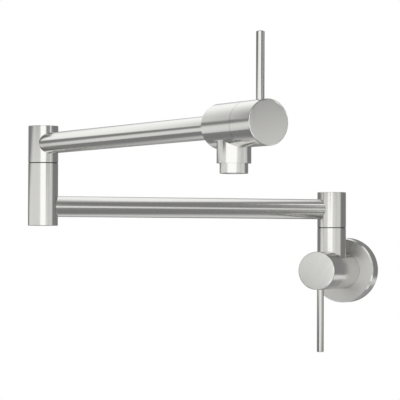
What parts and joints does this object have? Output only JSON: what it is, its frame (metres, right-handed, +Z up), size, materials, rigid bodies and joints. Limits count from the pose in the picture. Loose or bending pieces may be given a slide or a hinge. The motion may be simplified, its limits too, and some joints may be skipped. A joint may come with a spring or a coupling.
{
  "type": "wall mounted pot filler",
  "caption": "Wall-mounted pot filler tap: jointed swing arms on a wall valve with a round flange, a second valve and a down-turned outlet at the end, and pin levers.",
  "frame": {"origin": "centre of the threaded inlet's mouth, in the plane of the wall", "axes": "+X right along the wall seen from the room, +Y into the wall along the inlet, +Z up"},
  "size_m": [0.3002, 0.4377, 0.2435],
  "materials": {
    "brushed_steel": "fine brushed stainless steel, slightly warm",
    "brass": "machined",
    "alumina": "lapped ceramic",
    "black_rubber": "moulded, dull",
    "aerator_plastic": "moulded"
  },
  "bodies": {
    "wall_valve": {"valve_body": "brushed_steel", "wall_flange": "brushed_steel", "flange_gasket": "black_rubber", "wall_cartridge_housing": "brass", "wall_fixed_disc": "alumina", "wall_seat_seal": "black_rubber"},
    "wall_handle": {"wall_knob": "brushed_steel", "wall_lever": "brushed_steel", "wall_spindle": "brass", "wall_moving_disc": "alumina"},
    "lower_arm": {"riser_sleeve": "brushed_steel", "riser_post": "brass", "riser_post_ring": "black_rubber", "lower_arm_tube": "brushed_steel", "knuckle_column": "brushed_steel"},
    "upper_arm": {"knuckle_sleeve": "brushed_steel", "knuckle_post": "brass", "knuckle_post_ring": "black_rubber", "upper_arm_tube": "brushed_steel", "spout_head": "brushed_steel", "spout_cartridge_housing": "brass", "spout_fixed_disc": "alumina", "spout_seat_seal": "black_rubber", "aerator_housing": "brushed_steel", "aerator_insert": "aerator_plastic", "aerator_washer": "black_rubber"},
    "spout_handle": {"spout_knob": "brushed_steel", "spout_lever": "brushed_steel", "spout_spindle": "brass", "spout_moving_disc": "alumina"}
  },
  "joints": [
    {"name": "riser_swivel", "type": "hinge", "parent": "wall_valve", "child": "lower_arm", "pos_m": [0, -0.047, 0.0379], "axis": [0, 0, 1], "range_deg": [-39.5, 140.5]},
    {"name": "knuckle_swivel", "type": "hinge", "parent": "lower_arm", "child": "upper_arm", "pos_m": [-0.20332, -0.21461, 0.0911], "axis": [0, 0, 1], "continuous": true},
    {"name": "wall_lever_turn", "type": "hinge", "parent": "wall_valve", "child": "wall_handle", "pos_m": [0, -0.0639, 0], "axis": [0, -1, 0], "range_deg": [0, 90]},
    {"name": "spout_lever_turn", "type": "hinge", "parent": "upper_arm", "child": "spout_handle", "pos_m": [0.05374, -0.40902, 0.1075], "axis": [0.7976, -0.6032, 0], "range_deg": [0, 90]}
  ]
}
